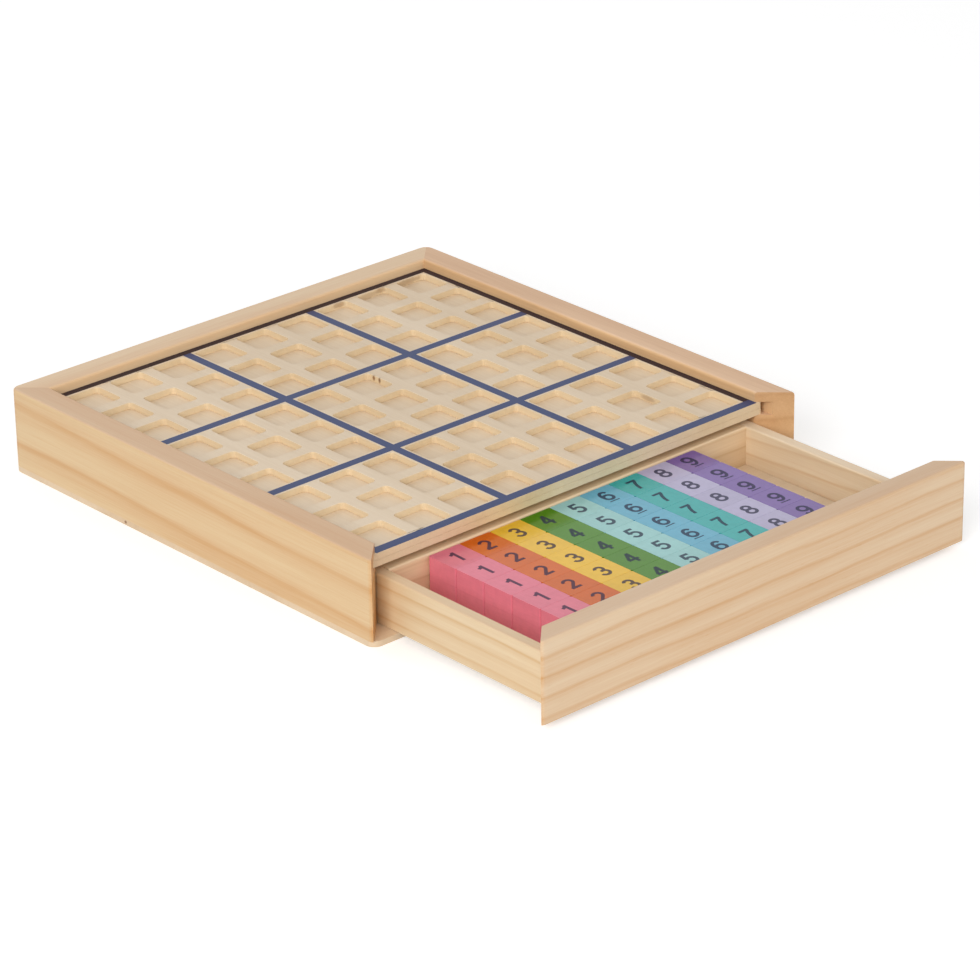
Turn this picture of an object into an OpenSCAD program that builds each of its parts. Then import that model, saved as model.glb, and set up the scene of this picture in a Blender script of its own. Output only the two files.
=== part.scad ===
// Sudoku board: a shallow square wooden case with a nine by nine board of square cells let
// into its top, and a drawer underneath that keeps the painted number blocks.
// Millimetres. X runs along the drawer front, the drawer pulls out towards -Y, and Z is up.
// The origin is the middle of the case's underside. The drawer is drawn pulled open.

/* [Board] */
// Width of one square cell
cell_w = 17; // [14:0.5:20]
// Wood left between two cells
cell_web = 6.05; // [4:0.05:9]
// Rounding of a cell's corners
cell_r = 2; // [0.5:0.1:4]
// Thickness of the sheet with the cells, which is the depth of a cell
cell_sheet_t = 3.05; // [2:0.05:5]
// Thickness of the sheet under the cells
backing_t = 2.75; // [1.5:0.05:4]
// Width of board between the outer half web and a wall
board_margin = 1.275; // [0.5:0.025:5]
// How far the board reaches into the grooves of the walls
board_tongue = 2.5; // [1.5:0.1:5]
// Empty depth of a groove behind the board's edge
board_spare = 3; // [0.5:0.1:4]
// Gap between the board's front edge and the closed drawer front
board_front_gap = 0.8; // [0.3:0.1:3]

/* [Case] */
// Thickness of the walls
wall_t = 12.5; // [10:0.5:18]
// Height of the rim above the board
rim_h = 4.5; // [2:0.1:10]
// Thickness of the base panel
base_t = 2.6; // [2:0.1:6]
// Rounding of the upright corners of the base and of the back of the case
corner_r = 4.5; // [3:0.1:8]
// Rounding of the upright tips at the front mitres
tip_r = 2.4; // [1:0.1:4]
// Easing of the long edges of the walls and of the drawer front
edge_r = 1.2; // [0.3:0.1:2]

/* [Drawer] */
// Thickness of the drawer front
front_t = 10.5; // [9:0.5:12]
// Opening left at each front mitre when the drawer is shut, along the front
mitre_gap = 0.3; // [0.2:0.1:1.5]
// Thickness of the drawer's sides
side_t = 5.5; // [4.5:0.1:8]
// Thickness of the drawer's back
back_t = 8; // [5:0.1:12]
// Easing of the upper edges of the drawer's sides and back
strip_r = 0.8; // [0.3:0.1:2]
// Play between a drawer side and a wall
side_play = 0.6; // [0.3:0.05:4]
// Running gap between the drawer and the base
run_gap = 0.2; // [0.1:0.05:1]
// Height of the drawer floor above the lower edge of the sides
floor_lift = 1.5; // [1:0.1:4]
// Thickness of the drawer floor
floor_t = 2.7; // [2:0.1:4]
// How far the floor reaches into its grooves
floor_tongue = 2; // [1:0.1:3]
// Room for a finger between the blocks and the drawer front
finger_gap = 15.25; // [5:0.05:40]
// Height of the drawer sides above the top of the blocks
block_cover = 0.8; // [0.2:0.1:6]
// Free height between the drawer sides and the board
head_room = 3.2; // [1:0.1:12]
// How far the drawer's back stands in front of the board's edge when the drawer is open
open_past = 0.1; // [0:0.1:8]

/* [Blocks] */
// Height of a block
block_h = 8.3; // [6:0.1:14]
// Play of a block in a cell
cell_play = 0.85; // [0.5:0.05:2]
// Rounding of a block's upright edges
block_r = 0.8; // [0.3:0.1:2]
// Gap between two blocks
block_gap = 0.1; // [0.1:0.05:1]
// Gap between the last row of blocks and the drawer's back
back_gap = 0.3; // [0.3:0.1:3]
// Gap between the first column of blocks and the drawer's left side
left_gap = 20.1; // [1:0.1:28]

/* [Hidden] */
$fn = 48;

// Counts of the board and of the blocks in the drawer
numbers = 9;
rows = 5;
numbers_per_group = 3;

// Clearances of parts that sit in each other
groove_spare = 0.5;
groove_play = 0.1;
seat_gap = 0.05;

// Overrun of every cut past the face that it opens
cut_over = 1;

// Plan of the case, from the cells outwards
cell_pitch = cell_w + cell_web;
inner_w = numbers * cell_pitch + 2 * board_margin;
case_w = inner_w + 2 * wall_t;
front_y = -case_w / 2;

// Blocks and the drawer that holds them
block_w = cell_w - cell_play;
block_pitch = block_w + block_gap;
drawer_w = inner_w - 2 * side_play;
drawer_in_w = drawer_w - 2 * side_t;
drawer_in_l = finger_gap + rows * block_pitch - block_gap + back_gap;

// Heights, from the table upwards
run_z = base_t + run_gap;
floor_z = run_z + floor_lift;
lower_z = floor_z + floor_t + seat_gap;
upper_z = lower_z + block_h + seat_gap;
drawer_z = upper_z + block_h + block_cover;
board_z = drawer_z + head_room;
board_t = backing_t + cell_sheet_t;
case_h = board_z + board_t + rim_h;

// The board between the grooves and the closed drawer front
board_w = inner_w + 2 * board_tongue;
board_front_y = front_y + front_t + board_front_gap;
board_l = board_w / 2 - board_front_y;

// The drawer's inside face behind its front, and its back, as the drawer stands open
drawer_out = drawer_in_l - board_front_gap + open_past;
drawer_front_y = front_y - drawer_out;
drawer_in_y = drawer_front_y + front_t;
drawer_back_y = drawer_in_y + drawer_in_l;

// An eased edge never takes more than half of a tip
ease = min(edge_r, tip_r / 2);

pine = "#e3c08f";
pine_light = "#ecd3aa";
sheet = "#d9c6ac";
block_colours = ["#e07a8c", "#d8814a", "#e9bf58", "#6c9c4c", "#a8d2cb",
                 "#82b4d5", "#4fae9d", "#bcb1d4", "#7b66b0"];

function block_name(number, row) = str("block_", number, "_row_", row);
function group_name(first) = str("lower_blocks_", first, "_to_", first + numbers_per_group - 1);
group_firsts = [1 : numbers_per_group : numbers];

// Rectangle with round corners, about its middle
module rounded_rect(w, l, r) {
    square([w - 2 * r, l], center = true);
    square([w, l - 2 * r], center = true);
    for (x = [-1, 1], y = [-1, 1])
        translate([x * (w / 2 - r), y * (l / 2 - r)])
            circle(r);
}

// Section of a bar whose two upper edges are eased
module eased_section(w, h, r) {
    square([w, h - r]);
    translate([r, 0])
        square([w - 2 * r, h]);
    for (x = [r, w - r])
        translate([x, h - r])
            circle(r);
}

// Round upright corner with the easing of the walls
module eased_post(r, h) {
    rotate_extrude() {
        square([r, h - ease]);
        square([r - ease, h]);
        translate([r - ease, h - ease])
            circle(ease);
    }
}

// Bar of the mitred frame along X: outer face on y = 0, lower face on z = 0.
// end_rs gives the rounding of the upright corner at its +X end and at its -X end.
module mitred_bar(l, t, h, end_rs) {
    intersection() {
        union() {
            difference() {
                rotate([90, 0, 90])
                    linear_extrude(l, center = true)
                        eased_section(t, h, ease);
                for (i = [0, 1])
                    let (s = 1 - 2 * i, r = end_rs[i], cut = r + cut_over)
                        translate([s * (l / 2 - r + cut / 2), r - cut / 2, h / 2])
                            cube([cut, cut, h + 2 * cut_over], center = true);
            }
            for (i = [0, 1])
                let (s = 1 - 2 * i, r = end_rs[i])
                    translate([s * (l / 2 - r), r, 0])
                        eased_post(r, h);
        }
        translate([0, 0, -cut_over])
            linear_extrude(h + 2 * cut_over)
                let (wide = l / 2 + cut_over, narrow = l / 2 - t - cut_over)
                    polygon([[-wide, -cut_over], [wide, -cut_over],
                             [narrow, t + cut_over], [-narrow, t + cut_over]]);
    }
}

// Wall of the case along X with the groove for the board in its inner face
module wall(end_rs) {
    groove_d = board_tongue + board_spare;
    translate([0, front_y, base_t])
        difference() {
            mitred_bar(case_w, wall_t, case_h - base_t, end_rs);
            translate([-case_w / 2 - cut_over, wall_t - groove_d, board_z - base_t])
                cube([case_w + 2 * cut_over, groove_d + cut_over, board_t + groove_play]);
        }
}

module base_panel() {
    color(pine_light)
        linear_extrude(base_t)
            rounded_rect(case_w, case_w, corner_r);
}

module left_wall() {
    color(pine)
        rotate(-90)
            wall([tip_r, corner_r]);
}

module right_wall() {
    color(pine)
        rotate(90)
            wall([corner_r, tip_r]);
}

module back_wall() {
    color(pine)
        rotate(180)
            wall([corner_r, corner_r]);
}

// Outline of both sheets of the board
module board_outline() {
    translate([-board_w / 2, board_front_y])
        square([board_w, board_l]);
}

module backing_sheet() {
    color(sheet)
        translate([0, 0, board_z])
            linear_extrude(backing_t)
                board_outline();
}

module cell_sheet() {
    middle = (numbers - 1) / 2;
    color(sheet)
        translate([0, 0, board_z + backing_t])
            linear_extrude(cell_sheet_t)
                difference() {
                    board_outline();
                    for (column = [0 : numbers - 1], line = [0 : numbers - 1])
                        translate([column - middle, line - middle] * cell_pitch)
                            rounded_rect(cell_w, cell_w, cell_r);
                }
}

// Groove that the drawer floor needs in the pieces round it
module floor_groove() {
    reach = 2 * (floor_tongue + groove_spare);
    translate([0, drawer_in_y + drawer_in_l / 2, floor_z + (floor_t + groove_play) / 2])
        cube([drawer_in_w + reach, drawer_in_l + reach, floor_t + groove_play], center = true);
}

module drawer_front() {
    color(pine)
        difference() {
            translate([0, drawer_front_y, run_z])
                mitred_bar(case_w - 2 * mitre_gap, front_t, case_h - run_z, [tip_r, tip_r]);
            floor_groove();
        }
}

// One side strip of the drawer: s is -1 for the left side and 1 for the right
module drawer_side(s) {
    difference() {
        translate([s * (drawer_w - side_t) / 2, drawer_in_y + (drawer_in_l + back_t) / 2, run_z])
            rotate([90, 0, 0])
                linear_extrude(drawer_in_l + back_t, center = true)
                    translate([-side_t / 2, 0])
                        eased_section(side_t, drawer_z - run_z, strip_r);
        floor_groove();
    }
}

module drawer_left_side() {
    color(pine_light)
        drawer_side(-1);
}

module drawer_right_side() {
    color(pine_light)
        drawer_side(1);
}

module drawer_back() {
    color(pine_light)
        difference() {
            translate([0, drawer_back_y, run_z])
                rotate([90, 0, 90])
                    linear_extrude(drawer_in_w, center = true)
                        eased_section(back_t, drawer_z - run_z, strip_r);
            floor_groove();
        }
}

module drawer_floor() {
    color(sheet)
        translate([0, drawer_in_y + drawer_in_l / 2, floor_z + floor_t / 2])
            cube([drawer_in_w + 2 * floor_tongue, drawer_in_l + 2 * floor_tongue, floor_t],
                 center = true);
}

// One block: numbers run from the left, rows from the drawer's back
module number_block(number, row, z) {
    x = -drawer_in_w / 2 + left_gap + block_w / 2 + (number - 1) * block_pitch;
    y = drawer_back_y - back_gap - block_w / 2 - (row - 1) * block_pitch;
    color(block_colours[number - 1])
        translate([x, y, z])
            linear_extrude(block_h)
                rounded_rect(block_w, block_w, block_r);
}

// All rows of the lower layer for one run of numbers
module lower_blocks(first) {
    for (number = [first : first + numbers_per_group - 1], row = [1 : rows])
        number_block(number, row, lower_z);
}

base_panel();
left_wall();
right_wall();
back_wall();
backing_sheet();
cell_sheet();
drawer_front();
drawer_left_side();
drawer_right_side();
drawer_back();
drawer_floor();
for (number = [1 : numbers])
    for (row = [1 : rows])
        number_block(number, row, upper_z);
for (first = group_firsts)
    lower_blocks(first);
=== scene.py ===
"""Looks of the sudoku board: pine case and drawer, board with blue lines, painted number blocks."""

import math
import random
from collections import namedtuple

import bmesh
import bpy
from mathutils import Matrix, Vector


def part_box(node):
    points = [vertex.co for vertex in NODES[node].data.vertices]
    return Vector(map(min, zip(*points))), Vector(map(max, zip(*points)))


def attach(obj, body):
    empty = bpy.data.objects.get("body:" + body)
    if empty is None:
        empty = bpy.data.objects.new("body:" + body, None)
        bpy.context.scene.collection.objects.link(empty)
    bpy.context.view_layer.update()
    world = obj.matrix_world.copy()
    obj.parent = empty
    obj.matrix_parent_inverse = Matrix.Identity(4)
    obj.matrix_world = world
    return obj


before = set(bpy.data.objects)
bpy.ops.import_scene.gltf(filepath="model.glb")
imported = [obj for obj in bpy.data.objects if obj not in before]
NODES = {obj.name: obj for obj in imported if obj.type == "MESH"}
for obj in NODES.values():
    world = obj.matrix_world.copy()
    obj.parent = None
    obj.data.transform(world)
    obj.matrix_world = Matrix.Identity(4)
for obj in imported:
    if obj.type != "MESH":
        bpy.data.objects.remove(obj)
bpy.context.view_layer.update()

MM = 0.001

# Camera: place, direction and lens that match the photograph's view
CAMERA_PLACE = (-1.0703, -1.2582, 0.7540)
CAMERA_AZIMUTH = -41.66
CAMERA_ELEVATION = 24.80
CAMERA_ROLL = -0.967
CAMERA_LENS = 157.12
CAMERA_SENSOR = 36.0
CAMERA_FAR = 50.0

# Counts of the puzzle
NUMBERS = range(1, 10)
ROWS = range(1, 6)
GROUP_FIRSTS = (1, 4, 7)
GROUP_SIZE = 3

# Lines printed on the board
CELL_PITCH = 23.05 * MM
BOX_LINE = 1.5 * CELL_PITCH
EDGE_LINE = 4.5 * CELL_PITCH
LINE_W = 4.1 * MM
LINE_T = 0.05 * MM

# Numbers printed on the blocks: lengths, then shares of the digit's height
DIGIT_H = 8.5 * MM
DIGIT_SHIFT = 0.45 * MM
DIGIT_MEAN = Vector((-0.4 * MM, 0.0))
INK_T = 0.02 * MM
INK_STEP = 0.004 * MM
DIGIT_STROKE = 0.172
UNDERLINE_DROP = 0.63
UNDERLINE_W = 0.075
UNDERLINE_HALF = 0.30

# Drawing of the numbers: steps of arcs, least cosine of a mitre, closing gap, turn in degrees, and seed
ARC_STEPS = 18
LEAST_STEPS = 4
LEAST_MITRE = 0.5
CLOSED_GAP = 1e-6
DIGIT_TURN = 2.5
PRINT_SEED = 9

# Softened edges of the solids
SHEET_BEVEL = 0.2 * MM
BASE_BEVEL = 0.4 * MM
BLOCK_BEVEL = 0.3 * MM
BLOCK_SEGMENTS = 3
BEVEL_ANGLE = 40.0
WELD = 0.001 * MM

# Colours of the paint by number, of the inks, of the painted shade on the border lines by the walls, and of
# knots
PAINTS = {
    1: (0.85, 0.222, 0.302),
    2: (0.74, 0.147, 0.012),
    3: (0.93, 0.57, 0.046),
    4: (0.079, 0.264, 0.006),
    5: (0.365, 0.675, 0.665),
    6: (0.157, 0.490, 0.665),
    7: (0.050, 0.470, 0.460),
    8: (0.53, 0.49, 0.695),
    9: (0.240, 0.148, 0.437),
}
NUMBER_INK = (0.005, 0.008, 0.050)
LINE_INK = (0.010, 0.032, 0.135)
# Painted shade: the border lines by the back and side walls are printed in the same blue; near black stands
# in for the walls' shade and dark reflection
SHADED_BORDER_INK = (0.018, 0.006, 0.016)
KNOT = (0.24, 0.10, 0.03)

# One wood: pale and dark colour, and the painted light on faces that look up: a tint for the sheen and
# weaker light that fall on tops
Wood = namedtuple("Wood", "pale dark top")
LEFT_PINE = Wood((0.771, 0.564, 0.320), (0.61, 0.29, 0.09), (0.97, 0.925, 1.035))
RIGHT_PINE = Wood((0.825, 0.540, 0.290), (0.56, 0.30, 0.13), (1.03, 1.06, 1.26))
BACK_PINE = Wood((0.853, 0.618, 0.373), (0.66, 0.305, 0.105), (0.99, 1.03, 1.14))
FRONT_PINE = Wood((0.774, 0.588, 0.393), (0.61, 0.305, 0.105), (0.99, 0.985, 1.04))
LEFT_SIDE = Wood((0.811, 0.636, 0.414), (0.64, 0.375, 0.145), (1.03, 0.99, 1.0))
RIGHT_SIDE = Wood((0.890, 0.722, 0.495), (0.67, 0.395, 0.16), (1.0, 0.99, 1.04))
DRAWER_BACK = Wood((0.880, 0.675, 0.440), (0.62, 0.39, 0.18), (1.0, 1.0, 1.0))
BASE_SHEET = Wood((0.830, 0.665, 0.480), (0.62, 0.42, 0.23), (1.0, 1.0, 1.0))
BOARD_SHEET = Wood((0.845, 0.680, 0.455), (0.62, 0.45, 0.25), (1.0, 1.01, 1.11))

# Noise drawn out along the grain: length and width in millimetres, detail, roughness, share in the tone
Streak = namedtuple("Streak", "long wide detail roughness share")
FIBRE = Streak(30.0, 0.55, 4.0, 0.6, 0.52)
BAND = Streak(75.0, 2.2, 2.0, 0.5, 0.32)
TONE = Streak(160.0, 14.0, 2.0, 0.5, 0.50)
FLECK = Streak(5.0, 0.4, 1.0, 0.5, 3.0)
BEND = Streak(130.0, 40.0, 1.0, 0.5, 0.0)
WOBBLE = Streak(22.0, 6.0, 2.0, 0.5, 0.0)

# Wood: where flecks start, how far rings wobble, least tone, and how seeds, years and knots vary it
FLECK_START = 0.17
WOBBLE_MM = 1.2
BASE_TONE = 0.12
SEED_TURN = 0.7
YEAR_LEAST = 0.6
YEAR_CHANGE = 0.5
RING_RELIEF = 0.5
KNOT_ROUGH = 0.9

# Paint: clouds, brushed fibres and peel for each millimetre, their shares in the tone, and the blocks' own
CLOUD_SCALE = 0.35
BRUSH_ACROSS = 1.6
BRUSH_ALONG = 0.12
PEEL_SCALE = 1.7
PAINT_DETAIL = 3.0
CLOUD_SHARE = 0.16
BRUSH_SHARE = 0.10
PAINT_TONE = 0.86
BLOCK_TONE = 0.965
BLOCK_CHANGE = 0.07
BRUSH_RELIEF = 0.6

# Ink: scale, detail and roughness of its patches, their wear, and the share of paint that shows through
PATCH_SCALE = 0.8
PATCH_DETAIL = 4.0
PATCH_ROUGH = 0.7
WORN_SLOPE = 2.0
WORN_START = 0.6
INK_WEAR = 0.006
INK_THIN = 0.12

# Surfaces: roughness and its change with the noise, strength and depth of the relief, and gloss
Sheen = namedtuple("Sheen", "roughness change strength depth gloss")
WOOD_SHEEN = Sheen(0.44, 0.16, 0.10, 0.12 * MM, 0.5)
PAINT_SHEEN = Sheen(0.11, 0.10, 0.12, 0.10 * MM, 0.6)
LINE_SHEEN = Sheen(0.28, 0.20, 0.05, 0.05 * MM, 0.5)
BORDER_SHEEN = LINE_SHEEN._replace(gloss=0.22)
NUMBER_SHEEN = LINE_SHEEN._replace(gloss=0.3)

# Curves as places and levels: darkness across a year ring, fade of a knot, and how much of the painted top
# light a face takes by how far it looks up
LATE_WOOD = ((0.0, 0.45), (0.07, 0.08), (0.40, 0.0), (0.75, 0.35), (0.93, 1.0), (1.0, 0.45))
KNOT_FADE = ((0.0, 1.0), (0.45, 0.85), (1.0, 0.0))
UP_FACE_LIGHT_RAMP = ((0.55, 0.0), (0.95, 1.0))

# Knots, figure and a speck: middle and half sizes in millimetres, and strength
BOARD_KNOTS = (
    ((8.6, 27.7, 32.3), (2.0, 1.3, 1.7), 1.0),
    ((8.6, 24.0, 32.3), (2.0, 1.2, 1.7), 1.0),
    ((77.9, -69.0, 32.0), (1.2, 5.5, 1.5), 0.45),
    ((51.0, 100.7, 32.4), (5.0, 1.6, 1.6), 0.50),
    ((67.0, 100.7, 31.9), (9.0, 1.6, 1.8), 0.35),
    ((75.0, 100.7, 32.6), (4.0, 1.6, 1.5), 0.45),
    ((91.0, 100.7, 32.2), (9.0, 1.6, 1.8), 0.45),
)
BASE_KNOTS = (((-117.5, 40.0, 1.4), (1.2, 1.0, 0.9), 1.0),)

# Stage
FLOOR_SIDE = 14.0
FLOOR_ALBEDO = 0.88
FLOOR_LIFT = 0.38
SKY_LEVEL = 0.515
LAMP_TARGET = (0.0, -0.05, 0.02)

# Lamps: place and side in metres, and power in watts
LAMPS = {
    "key": ((-1.9, -1.1, 1.15), 1.2, 32.0),
    "front_fill": ((0.5, -2.3, 0.9), 1.4, 11.5),
    "back_fill": ((0.1, 1.7, 1.6), 1.6, 9.5),
}


def block_name(number, row):
    return f"block_{number}_row_{row}"


def group_name(first):
    return f"lower_blocks_{first}_to_{first + GROUP_SIZE - 1}"


class Tree:
    """Short way to write one material's or the world's nodes."""

    def __init__(self, owner):
        owner.use_nodes = True
        self.nodes = owner.node_tree.nodes
        self.links = owner.node_tree.links
        self.nodes.clear()

    def put(self, socket, value):
        if isinstance(value, bpy.types.NodeSocket):
            self.links.new(value, socket)
        else:
            socket.default_value = value

    def add(self, kind, inputs=None, **settings):
        node = self.nodes.new("ShaderNode" + kind)
        for key, value in settings.items():
            setattr(node, key, value)
        for key, value in (inputs or {}).items():
            self.put(node.inputs[key], value)
        return node

    def math(self, operation, *values, clamp=False):
        node = self.add("Math", operation=operation, use_clamp=clamp)
        for socket, value in zip(node.inputs, values):
            self.put(socket, value)
        return node.outputs[0]

    def vector(self, x, y, z):
        return self.add("CombineXYZ", {"X": x, "Y": y, "Z": z}).outputs[0]

    def noise(self, vector, scale=1.0, detail=2.0, roughness=0.5):
        inputs = {"Vector": vector, "Scale": scale, "Detail": detail, "Roughness": roughness}
        return self.add("TexNoise", inputs).outputs["Fac"]

    def ramp(self, value, stops):
        """Smooth curve through the stops, each a place and a level."""
        node = self.add("ValToRGB", {"Fac": value})
        band = node.color_ramp
        band.interpolation = "EASE"
        while len(band.elements) < len(stops):
            band.elements.new(0.5)
        for element, (place, level) in zip(band.elements, stops):
            element.position = place
            element.color = (level, level, level, 1.0)
        return node.outputs["Color"]

    def mix(self, factor, first, second, blend="MIX"):
        node = self.add("Mix", data_type="RGBA", blend_type=blend)
        self.put(node.inputs["Factor"], factor)
        for socket, value in ((node.inputs[6], first), (node.inputs[7], second)):
            self.put(socket, value if isinstance(value, bpy.types.NodeSocket) else (*value, 1.0))
        return node.outputs[2]

    def place_mm(self):
        """Place on the object in millimetres, and its surface normal, each as x, y and z."""
        coordinates = self.add("TexCoord")
        inputs = {0: coordinates.outputs["Object"], "Scale": 1 / MM}
        scaled = self.add("VectorMath", inputs, operation="SCALE")
        axes = self.add("SeparateXYZ", {0: scaled.outputs[0]})
        normal = self.add("SeparateXYZ", {0: coordinates.outputs["Normal"]})
        return axes.outputs, normal.outputs

    def surface(self, colour, sheen, noise, relief):
        """Ends the material with a glossy shader. noise varies its roughness, relief its normals."""
        bump = self.add("Bump", {"Strength": sheen.strength, "Distance": sheen.depth, "Height": relief})
        shader = self.add("BsdfPrincipled", {
            "Base Color": colour,
            "Roughness": self.math("MULTIPLY_ADD", noise, sheen.change, sheen.roughness),
            "Normal": bump.outputs[0],
            "Specular IOR Level": sheen.gloss,
        })
        self.output(shader)

    def output(self, shader):
        self.links.new(shader.outputs[0], self.add("OutputMaterial").inputs["Surface"])


def streaks(tree, streak, along, across, up, seed):
    """Noise drawn out along the grain, from -0.5 to 0.5."""
    spot = tree.vector(
        tree.math("MULTIPLY_ADD", along, 1 / streak.long, seed),
        tree.math("MULTIPLY_ADD", across, 1 / streak.wide, seed * SEED_TURN),
        tree.math("MULTIPLY", up, 1 / streak.wide),
    )
    return tree.math("SUBTRACT", tree.noise(spot, 1.0, streak.detail, streak.roughness), 0.5)


def knot_share(tree, place, middle, radii, strength, rough):
    """How much a knot of the given half sizes covers each place."""
    squares = 0.0
    for axis, centre, radius in zip("XYZ", middle, radii):
        offset = tree.math("DIVIDE", tree.math("SUBTRACT", place[axis], centre), radius)
        squares = tree.math("MULTIPLY_ADD", offset, offset, squares)
    far = tree.math("MULTIPLY_ADD", rough, KNOT_ROUGH, tree.math("SQRT", squares))
    return tree.math("MULTIPLY", tree.ramp(far, KNOT_FADE), strength)


def wood(name, kind, grain, ring, pith, slope=0.0, shift=0.0, wander=4.0, contrast=0.45, seed=0.0,
         end_dark=0.15, flecks=0.3, knots=()):
    """Solid wood: rings round a pith line that runs along the grain, with fibres and slow changes of tone.

    Lengths are millimetres. pith is the place of the pith line across the grain (across, up), slope how
    far the rings rise for each millimetre along the grain, shift moves them outwards.
    """
    material = bpy.data.materials.new(name)
    tree = Tree(material)
    place, normal = tree.place_mm()
    along, across = (place["X"], place["Y"]) if grain == "X" else (place["Y"], place["X"])
    up = place["Z"]
    layers = (FIBRE, BAND, TONE, FLECK, BEND, WOBBLE)
    fibre, band, tone, fleck, bend, wobble = (
        streaks(tree, layer, along, across, up, seed) for layer in layers
    )

    side = tree.math("SUBTRACT", across, pith[0])
    rise = tree.math("SUBTRACT", tree.math("MULTIPLY_ADD", along, -slope, up), pith[1])
    squares = tree.math("MULTIPLY_ADD", rise, rise, tree.math("MULTIPLY", side, side))
    radius = tree.math("SUBTRACT", tree.math("SQRT", squares), shift)
    radius = tree.math("MULTIPLY_ADD", bend, 2 * wander, radius)
    radius = tree.math("MULTIPLY_ADD", wobble, WOBBLE_MM, radius)
    turns = tree.math("DIVIDE", radius, ring)
    ring_number = tree.math("FLOOR", turns)
    year = tree.add("TexWhiteNoise", {"W": ring_number}, noise_dimensions="1D").outputs["Value"]
    late = tree.ramp(tree.math("FRACT", turns), LATE_WOOD)
    late = tree.math("MULTIPLY", late, tree.math("MULTIPLY_ADD", year, YEAR_CHANGE, YEAR_LEAST))

    dash = tree.math("MULTIPLY", tree.math("SUBTRACT", fleck, FLECK_START), FLECK.share, clamp=True)
    amount = tree.math("MULTIPLY_ADD", late, contrast, BASE_TONE)
    amount = tree.math("MULTIPLY_ADD", fibre, FIBRE.share, amount)
    amount = tree.math("MULTIPLY_ADD", band, BAND.share, amount)
    amount = tree.math("MULTIPLY_ADD", tone, TONE.share, amount)
    amount = tree.math("MULTIPLY_ADD", dash, flecks, amount)
    end_face = tree.math("ABSOLUTE", normal[grain])
    amount = tree.math("MULTIPLY_ADD", end_face, end_dark, amount, clamp=True)
    colour = tree.mix(amount, kind.pale, kind.dark)
    # Painted light: faces that look up are tinted by the wood's top colour, for the sheen and weaker light
    # on tops
    painted_top_light = tree.mix(1.0, colour, kind.top, blend="MULTIPLY")
    colour = tree.mix(tree.ramp(normal["Z"], UP_FACE_LIGHT_RAMP), colour, painted_top_light)
    for middle, radii, strength in knots:
        colour = tree.mix(knot_share(tree, place, middle, radii, strength, band), colour, KNOT)

    tree.surface(colour, WOOD_SHEEN, fibre, tree.math("MULTIPLY_ADD", late, RING_RELIEF, fibre))
    return material


def painted(name, colour_at):
    """Satin paint on small wooden blocks. colour_at(tree, place) gives the paint's colour."""
    material = bpy.data.materials.new(name)
    tree = Tree(material)
    place, _ = tree.place_mm()
    spot = tree.vector(place["X"], place["Y"], place["Z"])
    drawn_x = tree.math("MULTIPLY", place["X"], BRUSH_ACROSS)
    drawn_y = tree.math("MULTIPLY", place["Y"], BRUSH_ALONG)
    cloud = tree.noise(spot, CLOUD_SCALE, PAINT_DETAIL)
    brush = tree.noise(tree.vector(drawn_x, drawn_y, place["Z"]), detail=PAINT_DETAIL)
    peel = tree.noise(spot, PEEL_SCALE)
    shade = tree.math("MULTIPLY_ADD", brush, BRUSH_SHARE, PAINT_TONE)
    shade = tree.math("MULTIPLY_ADD", cloud, CLOUD_SHARE, shade)
    chance = tree.add("ObjectInfo").outputs["Random"]
    value = tree.math("MULTIPLY", shade, tree.math("MULTIPLY_ADD", chance, BLOCK_CHANGE, BLOCK_TONE))
    colour = tree.mix(1.0, colour_at(tree, place), tree.vector(value, value, value), blend="MULTIPLY")
    tree.surface(colour, PAINT_SHEEN, peel, tree.math("MULTIPLY_ADD", brush, BRUSH_RELIEF, peel))
    return material


def one_colour(number):
    """The colour of one number's paint, for painted and ink."""
    return lambda tree, place: PAINTS[number]


def column_colours(first):
    """The colours of a lower group's paint, which change at the gap between two columns."""
    def colour_at(tree, place):
        colour = PAINTS[first]
        for number in range(first + 1, first + GROUP_SIZE):
            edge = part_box(block_name(number, 1))[0].x / MM
            beyond = tree.math("GREATER_THAN", place["X"], edge)
            colour = tree.mix(beyond, colour, PAINTS[number])
        return colour
    return colour_at


def ink(name, colour, sheen, paint_at=None):
    """Printed ink, thinner in small patches. Where paint_at is given, some of that paint shows through."""
    material = bpy.data.materials.new(name)
    tree = Tree(material)
    place, _ = tree.place_mm()
    spot = tree.vector(place["X"], place["Y"], place["Z"])
    patch = tree.noise(spot, PATCH_SCALE, PATCH_DETAIL, PATCH_ROUGH)
    worn = tree.math("SUBTRACT", tree.math("MULTIPLY", patch, WORN_SLOPE), WORN_START, clamp=True)
    shade = tree.mix(worn, colour, tuple(c + INK_WEAR for c in colour))
    if paint_at:
        shade = tree.mix(INK_THIN, shade, paint_at(tree, place))
    tree.surface(shade, sheen, patch, patch)
    return material


def dress(node, material, bevel=0.0, segments=2):
    """Gives a part of the frame its material and, where asked, softer edges."""
    piece = NODES[node]
    piece.data.materials.clear()
    piece.data.materials.append(material)
    if bevel:
        weld = piece.modifiers.new("weld", "WELD")
        weld.merge_threshold = WELD
        soft = piece.modifiers.new("soft_edges", "BEVEL")
        soft.width = bevel
        soft.segments = segments
        soft.limit_method = "ANGLE"
        soft.angle_limit = math.radians(BEVEL_ANGLE)
        soft.harden_normals = False
        piece.modifiers.new("shading", "WEIGHTED_NORMAL")


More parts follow.
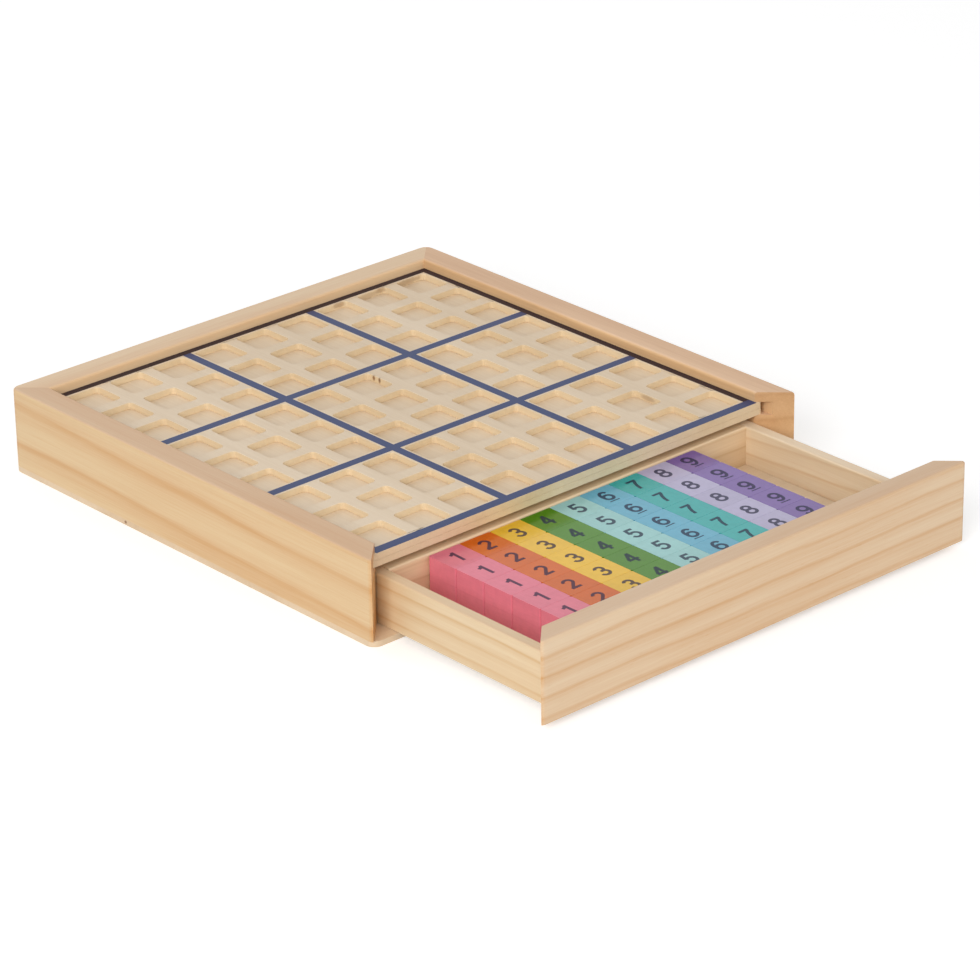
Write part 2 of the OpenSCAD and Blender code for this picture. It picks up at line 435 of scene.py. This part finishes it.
def dress_case():
    dress("left_wall", wood(
        "pine_left", LEFT_PINE, "Y", ring=17.5, pith=(-90.0, -140.0), slope=0.025, shift=-2.8, wander=5.0,
        contrast=0.52, seed=1.3, end_dark=0.6))
    dress("right_wall", wood(
        "pine_right", RIGHT_PINE, "Y", ring=11.0, pith=(140.0, -90.0), slope=0.01, contrast=0.3, seed=4.1,
        end_dark=0.55))
    dress("back_wall", wood(
        "pine_back", BACK_PINE, "X", ring=12.0, pith=(150.0, -120.0), slope=0.01, contrast=0.3, seed=7.7,
        end_dark=0.6))
    dress("base_panel", wood(
        "base_sheet", BASE_SHEET, "X", ring=30.0, pith=(0.0, -260.0), wander=9.0, contrast=0.25, seed=2.2,
        knots=BASE_KNOTS), BASE_BEVEL)
    board = wood(
        "board_sheet", BOARD_SHEET, "Y", ring=34.0, pith=(30.0, -300.0), wander=12.0, contrast=0.2, seed=5.9,
        end_dark=0.12, flecks=0.15, knots=BOARD_KNOTS)
    dress("backing_sheet", board)
    dress("cell_sheet", board, SHEET_BEVEL)


def dress_drawer():
    dress("drawer_front", wood(
        "pine_front", FRONT_PINE, "X", ring=8.8, pith=(-190.0, -180.0), slope=-0.006, shift=2.0, wander=3.0,
        contrast=0.58, seed=3.4, end_dark=0.4, flecks=0.5))
    dress("drawer_left_side", wood(
        "pine_left_side", LEFT_SIDE, "Y", ring=6.8, pith=(-90.0, -70.0), slope=0.02, shift=-0.6, wander=2.5,
        contrast=0.54, seed=6.6))
    dress("drawer_right_side", wood(
        "pine_right_side", RIGHT_SIDE, "Y", ring=7.4, pith=(90.0, -70.0), slope=-0.03, wander=2.5, seed=6.1))
    dress("drawer_back", wood(
        "pine_drawer_back", DRAWER_BACK, "X", ring=7.0, pith=(-90.0, -80.0), wander=2.5, seed=8.8))
    dress("drawer_floor", wood(
        "drawer_sheet", BOARD_SHEET, "X", ring=26.0, pith=(0.0, -200.0), wander=9.0, contrast=0.2, seed=9.3))


def dress_blocks():
    for number in NUMBERS:
        paint = painted(f"paint_{number}", one_colour(number))
        for row in ROWS:
            dress(block_name(number, row), paint, BLOCK_BEVEL, BLOCK_SEGMENTS)
    for first in GROUP_FIRSTS:
        paint = painted(f"paint_{first}_to_{first + GROUP_SIZE - 1}", column_colours(first))
        dress(group_name(first), paint, BLOCK_BEVEL, BLOCK_SEGMENTS)


def new_piece(name, bm, material, body):
    mesh = bpy.data.meshes.new(name)
    bm.to_mesh(mesh)
    bm.free()
    piece = bpy.data.objects.new(name, mesh)
    bpy.context.scene.collection.objects.link(piece)
    mesh.materials.append(material)
    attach(piece, body)


def add_bar(bm, low, high):
    """Closed box between two corners."""
    corners = []
    for z in (low[2], high[2]):
        for y in (low[1], high[1]):
            corners += [bm.verts.new((x, y, z)) for x in (low[0], high[0])]
    for face in ((0, 2, 3, 1), (4, 5, 7, 6), (0, 1, 5, 4), (2, 6, 7, 3), (0, 4, 6, 2), (1, 3, 7, 5)):
        bm.faces.new([corners[i] for i in face])


def board_lines():
    """Printed lines round every box of three by three cells; the outer ones end where the walls begin."""
    low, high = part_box("cell_sheet")
    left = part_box("left_wall")[1].x
    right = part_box("right_wall")[0].x
    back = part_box("back_wall")[0].y
    half = LINE_W / 2
    inside = EDGE_LINE - half

    def strips(name, material, places):
        bm = bmesh.new()
        for x0, x1, y0, y1 in places:
            add_bar(bm, (x0, y0, high.z), (x1, y1, high.z + LINE_T))
        new_piece(name, bm, material, "case")

    front = [(left, right, low.y, -inside)]
    along = [(-inside, inside, y - half, y + half) for y in (-BOX_LINE, BOX_LINE)]
    gaps = ((-inside, -BOX_LINE - half), (half - BOX_LINE, BOX_LINE - half), (BOX_LINE + half, inside))
    across = [(x - half, x + half, y0, y1) for x in (-BOX_LINE, BOX_LINE) for y0, y1 in gaps]
    strips("board_lines", ink("line_ink", LINE_INK, LINE_SHEEN), front + along + across)

    # Painted shade: the border lines by the side and back walls take a near-black ink for the walls' shade
    # and dark reflection
    sides = [(left, -inside, -inside, back), (inside, right, -inside, back)]
    behind = [(-inside, inside, inside, back)]
    strips("border_lines", ink("shaded_border_ink", SHADED_BORDER_INK, BORDER_SHEEN), sides + behind)


def arc(cx, cy, rx, ry, start, end):
    """Points of an elliptical arc, angles in degrees."""
    steps = max(LEAST_STEPS, round(ARC_STEPS * abs(end - start) / 180))
    angles = [math.radians(start + (end - start) * k / steps) for k in range(steps + 1)]
    return [(cx + rx * math.cos(a), cy + ry * math.sin(a)) for a in angles]


def turned(strokes):
    return [[(-x, -y) for x, y in stroke] for stroke in strokes]


SIX = [
    arc(0.03, 0.0, 0.27, 0.425, 42, 180) + [(-0.235, -0.15)],
    arc(0.01, -0.175, 0.245, 0.25, 180, 540),
]

# Middle lines of the digits' strokes, in shares of their height, about the middle
DIGITS = {
    1: [[(0.07, 0.5), (0.07, -0.5)], [(0.07, 0.40), (-0.06, 0.29), (-0.19, 0.23)]],
    2: [
        arc(0.0, 0.19, 0.235, 0.235, 170, -38) + [(-0.15, -0.33), (-0.235, -0.425)],
        [(-0.31, -0.425), (0.27, -0.425)],
    ],
    3: [
        arc(-0.01, 0.215, 0.205, 0.21, 165, -90) + [(-0.09, 0.005)],
        arc(0.0, -0.195, 0.24, 0.23, 90, -165),
    ],
    4: [[(0.11, 0.5), (0.11, -0.5)], [(0.10, 0.46), (-0.27, -0.19)], [(-0.31, -0.2), (0.29, -0.2)]],
    5: [
        [(0.23, 0.425), (-0.155, 0.425), (-0.215, -0.01)],
        arc(0.0, -0.165, 0.25, 0.26, 150, -160),
    ],
    6: SIX,
    7: [
        [(-0.27, 0.425), (0.30, 0.425)],
        [(0.225, 0.40), (0.06, 0.12), (-0.05, -0.18), (-0.10, -0.5)],
    ],
    8: [arc(0.0, 0.22, 0.205, 0.205, 0, 360), arc(0.0, -0.19, 0.245, 0.235, 0, 360)],
    9: turned(SIX),
}
UNDERLINED = (6, 9)


def rails(line, closed, half):
    """Both edges of a stroke whose middle line is given, as pairs of points."""
    count = len(line)
    pairs = []
    for k, here in enumerate(line):
        before = line[k - 1] if closed or k else here
        after = line[(k + 1) % count] if closed or k < count - 1 else here
        into = (here - before).normalized() if here != before else (after - here).normalized()
        out = (after - here).normalized() if after != here else into
        middle = (into + out).normalized()
        reach = half / max(LEAST_MITRE, middle.dot(into))
        sideways = Vector((-middle.y, middle.x)) * reach
        pairs.append((here + sideways, here - sideways))
    return pairs


def add_stroke(bm, points, half, place, low, high):
    """One stroke of a digit as a thin closed ribbon. place turns a point of the plan into a place."""
    closed = math.dist(points[0], points[-1]) < CLOSED_GAP
    line = [Vector(p) for p in (points[:-1] if closed else points)]
    rings = []
    for a, b in rails(line, closed, half):
        corners = ((a, low), (a, high), (b, high), (b, low))
        rings.append([bm.verts.new(place(point, z)) for point, z in corners])
    followers = rings[1:] + rings[:1] if closed else rings[1:]
    for near, far in zip(rings, followers):
        for i in range(4):
            j = (i + 1) % 4
            bm.faces.new((near[i], near[j], far[j], far[i]))
    if not closed:
        bm.faces.new(rings[0][::-1])
        bm.faces.new(rings[-1])


def add_digit(bm, number, middle, top, chance):
    """Prints a number on a block's top, a little off its middle as hand-fed printing is."""
    shift = Vector((chance.uniform(-1, 1), chance.uniform(-1, 1))) * DIGIT_SHIFT + DIGIT_MEAN
    turn = Matrix.Rotation(math.radians(chance.uniform(-1, 1) * DIGIT_TURN), 2)
    lift = Vector((0.0, UNDERLINE_W)) if number in UNDERLINED else Vector((0.0, 0.0))

    def place(point, z):
        spot = middle + shift + turn @ ((point + lift) * DIGIT_H)
        return (spot.x, spot.y, z)

    strokes = [(stroke, DIGIT_STROKE / 2) for stroke in DIGITS[number]]
    if number in UNDERLINED:
        line = [(-UNDERLINE_HALF, -UNDERLINE_DROP), (UNDERLINE_HALF, -UNDERLINE_DROP)]
        strokes.append((line, UNDERLINE_W / 2))
    for k, (stroke, half) in enumerate(strokes):
        add_stroke(bm, stroke, half, place, top, top + INK_T + k * INK_STEP)


def print_numbers():
    chance = random.Random(PRINT_SEED)
    for number in NUMBERS:
        material = ink(f"ink_{number}", NUMBER_INK, NUMBER_SHEEN, one_colour(number))
        for row in ROWS:
            low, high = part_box(block_name(number, row))
            bm = bmesh.new()
            add_digit(bm, number, ((low + high) / 2).to_2d(), high.z, chance)
            new_piece(f"print_{number}_row_{row}", bm, material, block_name(number, row))
    for first in GROUP_FIRSTS:
        bm = bmesh.new()
        span = f"{first}_to_{first + GROUP_SIZE - 1}"
        material = ink(f"ink_{span}", NUMBER_INK, NUMBER_SHEEN, column_colours(first))
        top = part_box(group_name(first))[1].z
        for number in range(first, first + GROUP_SIZE):
            for row in ROWS:
                low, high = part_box(block_name(number, row))
                add_digit(bm, number, ((low + high) / 2).to_2d(), top, chance)
        new_piece(f"print_lower_{span}", bm, material, group_name(first))


def seen_directly(tree):
    """1 where the eye, a reflection or a see-through path meets this surface, 0 for light on the object."""
    path = tree.add("LightPath").outputs
    seen = tree.math("MAXIMUM", path["Is Camera Ray"], path["Is Glossy Ray"])
    return tree.math("MAXIMUM", seen, path["Is Transmission Ray"])


def make_floor():
    bpy.ops.mesh.primitive_plane_add(size=FLOOR_SIDE)
    floor = bpy.context.object
    floor.name = "floor"
    material = bpy.data.materials.new("floor")
    tree = Tree(material)
    lift = tree.math("MULTIPLY", seen_directly(tree), FLOOR_LIFT)
    matt = tree.add("BsdfDiffuse", {"Color": (FLOOR_ALBEDO, FLOOR_ALBEDO, FLOOR_ALBEDO, 1.0)})
    glow = tree.add("Emission", {"Strength": lift})
    tree.output(tree.add("AddShader", {0: matt.outputs[0], 1: glow.outputs[0]}))
    floor.data.materials.append(material)


def make_world():
    world = bpy.data.worlds.new("studio")
    bpy.context.scene.world = world
    tree = Tree(world)
    level = tree.math("MULTIPLY_ADD", seen_directly(tree), 1.0 - SKY_LEVEL, SKY_LEVEL)
    sky = tree.add("Background", {"Strength": level})
    tree.links.new(sky.outputs[0], tree.add("OutputWorld").inputs["Surface"])


def add_lamp(name, place, side, power):
    """Square soft lamp that shines at the object."""
    data = bpy.data.lights.new(name, "AREA")
    data.shape = "SQUARE"
    data.size = side
    data.energy = power
    lamp = bpy.data.objects.new(name, data)
    lamp.location = place
    lamp.rotation_euler = (Vector(LAMP_TARGET) - Vector(place)).to_track_quat("-Z", "Y").to_euler()
    bpy.context.scene.collection.objects.link(lamp)


def make_lights():
    for name, (place, side, power) in LAMPS.items():
        add_lamp(name, place, side, power)


def make_camera():
    data = bpy.data.cameras.new("camera")
    data.lens = CAMERA_LENS
    data.sensor_width = CAMERA_SENSOR
    data.clip_end = CAMERA_FAR
    camera = bpy.data.objects.new("camera", data)
    azimuth = Matrix.Rotation(math.radians(CAMERA_AZIMUTH), 4, "Z")
    tilt = Matrix.Rotation(math.radians(90.0 - CAMERA_ELEVATION), 4, "X")
    roll = Matrix.Rotation(math.radians(CAMERA_ROLL), 4, "Z")
    camera.matrix_world = Matrix.Translation(CAMERA_PLACE) @ azimuth @ tilt @ roll
    bpy.context.scene.collection.objects.link(camera)
    bpy.context.scene.camera = camera


make_camera()
make_world()
make_floor()
make_lights()
dress_case()
dress_drawer()
dress_blocks()
board_lines()
print_numbers()

bpy.context.scene.view_settings.view_transform = "Standard"
